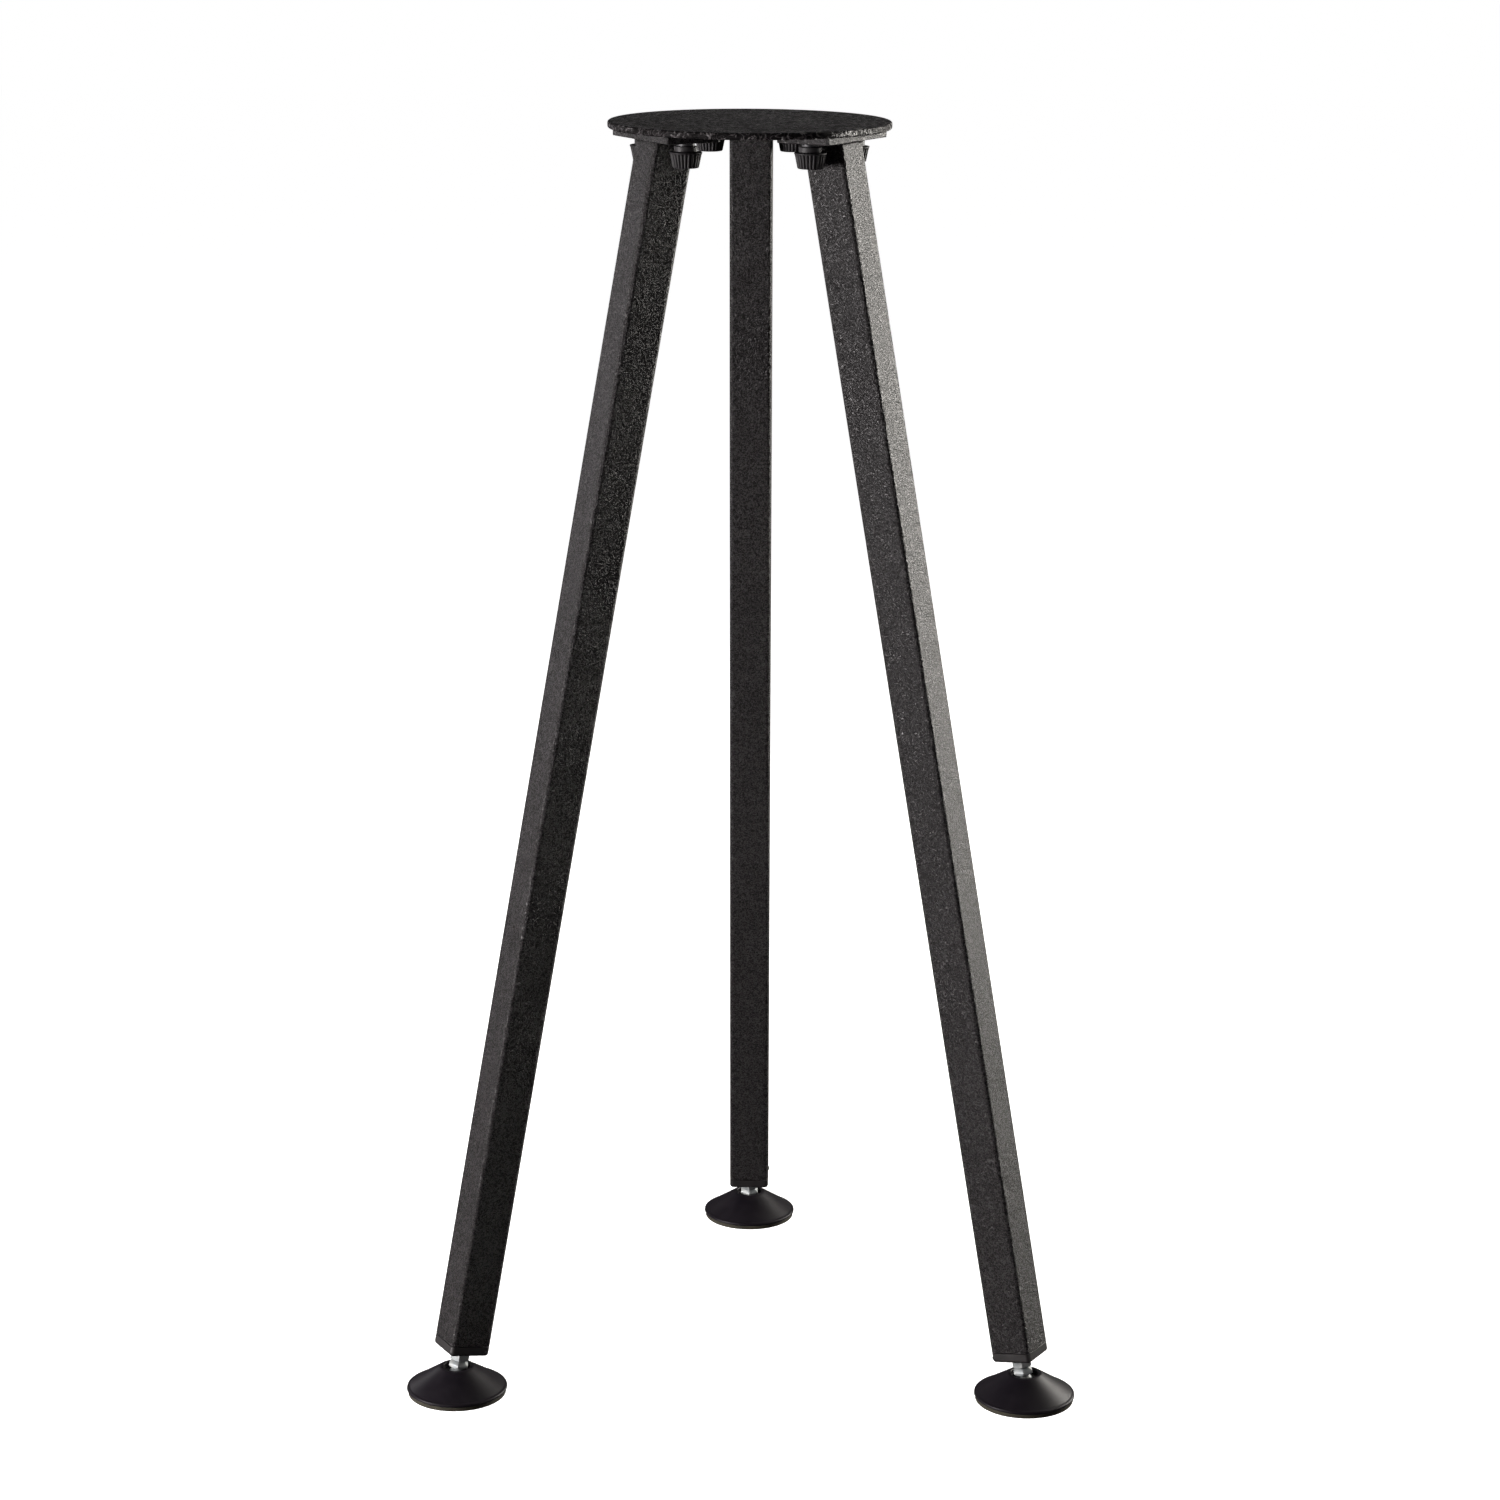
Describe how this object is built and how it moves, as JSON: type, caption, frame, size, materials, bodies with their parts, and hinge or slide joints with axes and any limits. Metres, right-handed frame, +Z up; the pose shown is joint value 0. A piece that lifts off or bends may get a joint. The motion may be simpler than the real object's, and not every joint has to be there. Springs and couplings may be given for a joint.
{
  "type": "tripod stand",
  "caption": "Free-standing steel tripod with a flat round top disc, splayed square-tube legs clamped on by fluted knobs, and swivel levelling feet.",
  "frame": {"origin": "centre of the footprint's box, on the floor", "axes": "+Z up; +Y towards the rear leg; the front legs stand at -Y, one on each side"},
  "size_m": [0.471, 0.4174, 0.8805],
  "materials": {
    "powder_coat": "black wrinkle-texture powder coat on steel",
    "cap_plastic": "black moulded polyethylene, lightly textured",
    "zinc_plate": "bright blue-passivated zinc plate on steel",
    "washer_black": "black oxide on steel, satin",
    "stud_steel": "plain steel thread, bright",
    "brass": "turned brass",
    "knob_plastic": "black moulded plastic, satin",
    "socket_plastic": "black acetal, smooth",
    "pad_plastic": "black moulded polyamide, fine texture",
    "sole_rubber": "dull olive-black anti-slip rubber"
  },
  "bodies": {
    "stand_frame": {"top_disc": "powder_coat", "mounting_plate_rear": "powder_coat", "leg_tube_rear": "powder_coat", "weld_bead_rear": "powder_coat", "end_cap_rear": "cap_plastic", "captive_nut_rear": "zinc_plate", "weld_stud_rear_1": "stud_steel", "weld_stud_rear_2": "stud_steel", "mounting_plate_front_left": "powder_coat", "leg_tube_front_left": "powder_coat", "weld_bead_front_left": "powder_coat", "end_cap_front_left": "cap_plastic", "captive_nut_front_left": "zinc_plate", "weld_stud_front_left_1": "stud_steel", "weld_stud_front_left_2": "stud_steel", "mounting_plate_front_right": "powder_coat", "leg_tube_front_right": "powder_coat", "weld_bead_front_right": "powder_coat", "end_cap_front_right": "cap_plastic", "captive_nut_front_right": "zinc_plate", "weld_stud_front_right_1": "stud_steel", "weld_stud_front_right_2": "stud_steel"},
    "rear_washer_1": {"washer_rear_1": "washer_black"},
    "rear_knob_1": {"clamp_knob_rear_1": "knob_plastic", "knob_insert_rear_1": "brass"},
    "rear_washer_2": {"washer_rear_2": "washer_black"},
    "rear_knob_2": {"clamp_knob_rear_2": "knob_plastic", "knob_insert_rear_2": "brass"},
    "rear_jam_nut": {"jam_nut_rear": "zinc_plate"},
    "rear_levelling_stud": {"levelling_stud_rear": "zinc_plate"},
    "rear_socket": {"socket_cup_rear": "socket_plastic"},
    "rear_foot": {"foot_pad_rear": "pad_plastic", "foot_sole_rear": "sole_rubber"},
    "front_left_washer_1": {"washer_front_left_1": "washer_black"},
    "front_left_knob_1": {"clamp_knob_front_left_1": "knob_plastic", "knob_insert_front_left_1": "brass"},
    "front_left_washer_2": {"washer_front_left_2": "washer_black"},
    "front_left_knob_2": {"clamp_knob_front_left_2": "knob_plastic", "knob_insert_front_left_2": "brass"},
    "front_left_jam_nut": {"jam_nut_front_left": "zinc_plate"},
    "front_left_levelling_stud": {"levelling_stud_front_left": "zinc_plate"},
    "front_left_socket": {"socket_cup_front_left": "socket_plastic"},
    "front_left_foot": {"foot_pad_front_left": "pad_plastic", "foot_sole_front_left": "sole_rubber"},
    "front_right_washer_1": {"washer_front_right_1": "washer_black"},
    "front_right_knob_1": {"clamp_knob_front_right_1": "knob_plastic", "knob_insert_front_right_1": "brass"},
    "front_right_washer_2": {"washer_front_right_2": "washer_black"},
    "front_right_knob_2": {"clamp_knob_front_right_2": "knob_plastic", "knob_insert_front_right_2": "brass"},
    "front_right_jam_nut": {"jam_nut_front_right": "zinc_plate"},
    "front_right_levelling_stud": {"levelling_stud_front_right": "zinc_plate"},
    "front_right_socket": {"socket_cup_front_right": "socket_plastic"},
    "front_right_foot": {"foot_pad_front_right": "pad_plastic", "foot_sole_front_right": "sole_rubber"}
  },
  "joints": [
    {"name": "rear_knob_1_travel", "type": "slide", "parent": "stand_frame", "child": "rear_washer_1", "axis": [0, 0, -1], "range_m": [0, 0.008]},
    {"name": "rear_knob_1_turn", "type": "hinge", "parent": "rear_washer_1", "child": "rear_knob_1", "pos_m": [0.02875, 0.00665, 0.8706], "axis": [0, 0, -1], "range_deg": [0, 2885]},
    {"name": "rear_knob_2_travel", "type": "slide", "parent": "stand_frame", "child": "rear_washer_2", "axis": [0, 0, -1], "range_m": [0, 0.008]},
    {"name": "rear_knob_2_turn", "type": "hinge", "parent": "rear_washer_2", "child": "rear_knob_2", "pos_m": [-0.02875, 0.00665, 0.8706], "axis": [0, 0, -1], "range_deg": [0, 2885]},
    {"name": "rear_foot_reach", "type": "slide", "parent": "stand_frame", "child": "rear_jam_nut", "axis": [0, 0.1908, -0.9816], "range_m": [0, 0.015]},
    {"name": "rear_foot_turn", "type": "hinge", "parent": "rear_jam_nut", "child": "rear_levelling_stud", "pos_m": [0, 0.17325, 0.0135], "axis": [0, 0.1908, -0.9816], "range_deg": [0, 4325]},
    {"name": "rear_foot_tilt_inward", "type": "hinge", "parent": "rear_jam_nut", "child": "rear_socket", "pos_m": [0, 0.17325, 0.0135], "axis": [1, 0, 0], "range_deg": [-4, 26]},
    {"name": "rear_foot_tilt_sideways", "type": "hinge", "parent": "rear_socket", "child": "rear_foot", "pos_m": [0, 0.17325, 0.0135], "axis": [0, 1, 0], "range_deg": [-9, 9]},
    {"name": "front_left_knob_1_travel", "type": "slide", "parent": "stand_frame", "child": "front_left_washer_1", "axis": [0, 0, -1], "range_m": [0, 0.008]},
    {"name": "front_left_knob_1_turn", "type": "hinge", "parent": "front_left_washer_1", "child": "front_left_knob_1", "pos_m": [-0.07015, -0.06505, 0.8706], "axis": [0, 0, -1], "range_deg": [0, 2885]},
    {"name": "front_left_knob_2_travel", "type": "slide", "parent": "stand_frame", "child": "front_left_washer_2", "axis": [0, 0, -1], "range_m": [0, 0.008]},
    {"name": "front_left_knob_2_turn", "type": "hinge", "parent": "front_left_washer_2", "child": "front_left_knob_2", "pos_m": [-0.0414, -0.11485, 0.8706], "axis": [0, 0, -1], "range_deg": [0, 2885]},
    {"name": "front_left_foot_reach", "type": "slide", "parent": "stand_frame", "child": "front_left_jam_nut", "axis": [-0.1652, -0.0954, -0.9816], "range_m": [0, 0.015]},
    {"name": "front_left_foot_turn", "type": "hinge", "parent": "front_left_jam_nut", "child": "front_left_levelling_stud", "pos_m": [-0.20005, -0.17325, 0.0135], "axis": [-0.1652, -0.0954, -0.9816], "range_deg": [0, 4325]},
    {"name": "front_left_foot_tilt_inward", "type": "hinge", "parent": "front_left_jam_nut", "child": "front_left_socket", "pos_m": [-0.20005, -0.17325, 0.0135], "axis": [-0.5, 0.866, 0], "range_deg": [-4, 26]},
    {"name": "front_left_foot_tilt_sideways", "type": "hinge", "parent": "front_left_socket", "child": "front_left_foot", "pos_m": [-0.20005, -0.17325, 0.0135], "axis": [-0.866, -0.5, 0], "range_deg": [-9, 9]},
    {"name": "front_right_knob_1_travel", "type": "slide", "parent": "stand_frame", "child": "front_right_washer_1", "axis": [0, 0, -1], "range_m": [0, 0.008]},
    {"name": "front_right_knob_1_turn", "type": "hinge", "parent": "front_right_washer_1", "child": "front_right_knob_1", "pos_m": [0.0414, -0.11485, 0.8706], "axis": [0, 0, -1], "range_deg": [0, 2885]},
    {"name": "front_right_knob_2_travel", "type": "slide", "parent": "stand_frame", "child": "front_right_washer_2", "axis": [0, 0, -1], "range_m": [0, 0.008]},
    {"name": "front_right_knob_2_turn", "type": "hinge", "parent": "front_right_washer_2", "child": "front_right_knob_2", "pos_m": [0.07015, -0.06505, 0.8706], "axis": [0, 0, -1], "range_deg": [0, 2885]},
    {"name": "front_right_foot_reach", "type": "slide", "parent": "stand_frame", "child": "front_right_jam_nut", "axis": [0.1652, -0.0954, -0.9816], "range_m": [0, 0.015]},
    {"name": "front_right_foot_turn", "type": "hinge", "parent": "front_right_jam_nut", "child": "front_right_levelling_stud", "pos_m": [0.20005, -0.17325, 0.0135], "axis": [0.1652, -0.0954, -0.9816], "range_deg": [0, 4325]},
    {"name": "front_right_foot_tilt_inward", "type": "hinge", "parent": "front_right_jam_nut", "child": "front_right_socket", "pos_m": [0.20005, -0.17325, 0.0135], "axis": [-0.5, -0.866, 0], "range_deg": [-4, 26]},
    {"name": "front_right_foot_tilt_sideways", "type": "hinge", "parent": "front_right_socket", "child": "front_right_foot", "pos_m": [0.20005, -0.17325, 0.0135], "axis": [0.866, -0.5, 0], "range_deg": [-9, 9]}
  ],
  "couplings": [
    {"joint": "rear_knob_1_turn", "follows": "rear_knob_1_travel", "rad_per_m": 6283.2},
    {"joint": "rear_knob_2_turn", "follows": "rear_knob_2_travel", "rad_per_m": 6283.2},
    {"joint": "rear_foot_turn", "follows": "rear_foot_reach", "rad_per_m": 5026.5},
    {"joint": "front_left_knob_1_turn", "follows": "front_left_knob_1_travel", "rad_per_m": 6283.2},
    {"joint": "front_left_knob_2_turn", "follows": "front_left_knob_2_travel", "rad_per_m": 6283.2},
    {"joint": "front_left_foot_turn", "follows": "front_left_foot_reach", "rad_per_m": 5026.5},
    {"joint": "front_right_knob_1_turn", "follows": "front_right_knob_1_travel", "rad_per_m": 6283.2},
    {"joint": "front_right_knob_2_turn", "follows": "front_right_knob_2_travel", "rad_per_m": 6283.2},
    {"joint": "front_right_foot_turn", "follows": "front_right_foot_reach", "rad_per_m": 5026.5}
  ]
}
